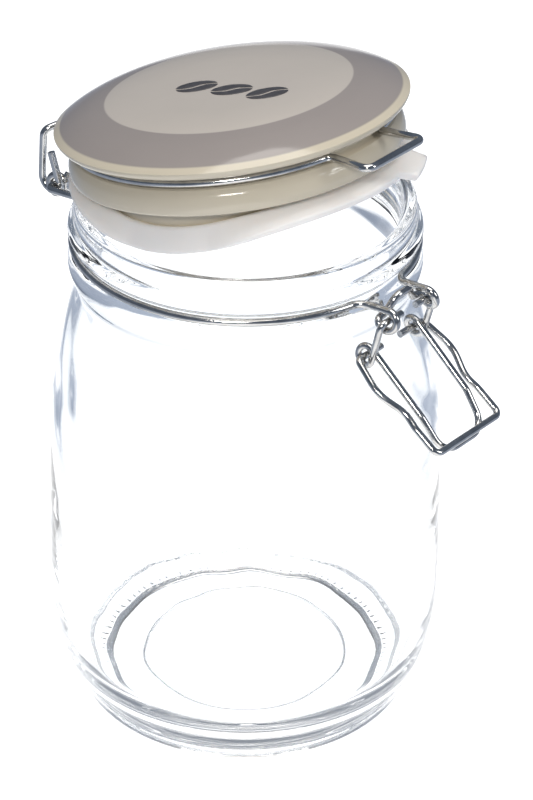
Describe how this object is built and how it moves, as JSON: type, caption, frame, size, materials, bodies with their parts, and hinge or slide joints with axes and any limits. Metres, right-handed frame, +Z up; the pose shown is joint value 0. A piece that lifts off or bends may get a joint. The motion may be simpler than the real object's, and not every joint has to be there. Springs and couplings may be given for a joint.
{
  "type": "clip-top glass canister",
  "caption": "Round glass storage canister with a domed ceramic lid on a wire bail, a sealing ring and an over-centre wire latch, standing ajar.",
  "frame": {"origin": "centre of the base, on the jar's axis, where it stands on a surface", "axes": "+Z up along the jar's axis; the latch faces -Y and the lid's hinge is at +Y; the pivots run along X"},
  "size_m": [0.115, 0.1525, 0.1984],
  "materials": {
    "clear_glass": "clear, polished",
    "glazed_ceramic": "gloss glaze on ceramic",
    "silicone": "translucent white, satin",
    "plated_wire": "bright plated steel wire"
  },
  "bodies": {
    "jar": {"glass_jar": "clear_glass", "neck_wire": "plated_wire"},
    "bail": {"lid_wire": "plated_wire"},
    "lid": {"ceramic_lid": "glazed_ceramic", "gasket": "silicone"},
    "lever": {"latch_lever": "plated_wire"},
    "loop": {"latch_loop": "plated_wire"}
  },
  "joints": [
    {"name": "lid_hinge", "type": "hinge", "parent": "jar", "child": "bail", "pos_m": [0, 0.0625, 0.1466], "axis": [-1, 0, 0], "range_deg": [-10.8, 195]},
    {"name": "lid_turn", "type": "hinge", "parent": "bail", "child": "lid", "pos_m": [0, 0.00441, 0.18201], "axis": [0, 0.1874, 0.9823], "continuous": true},
    {"name": "latch_lever", "type": "hinge", "parent": "jar", "child": "lever", "pos_m": [0, -0.0584, 0.1466], "axis": [-1, 0, 0], "range_deg": [0, 100]},
    {"name": "latch_loop", "type": "hinge", "parent": "lever", "child": "loop", "pos_m": [0, -0.0526, 0.1345], "axis": [-1, 0, 0], "range_deg": [0, 48]}
  ]
}
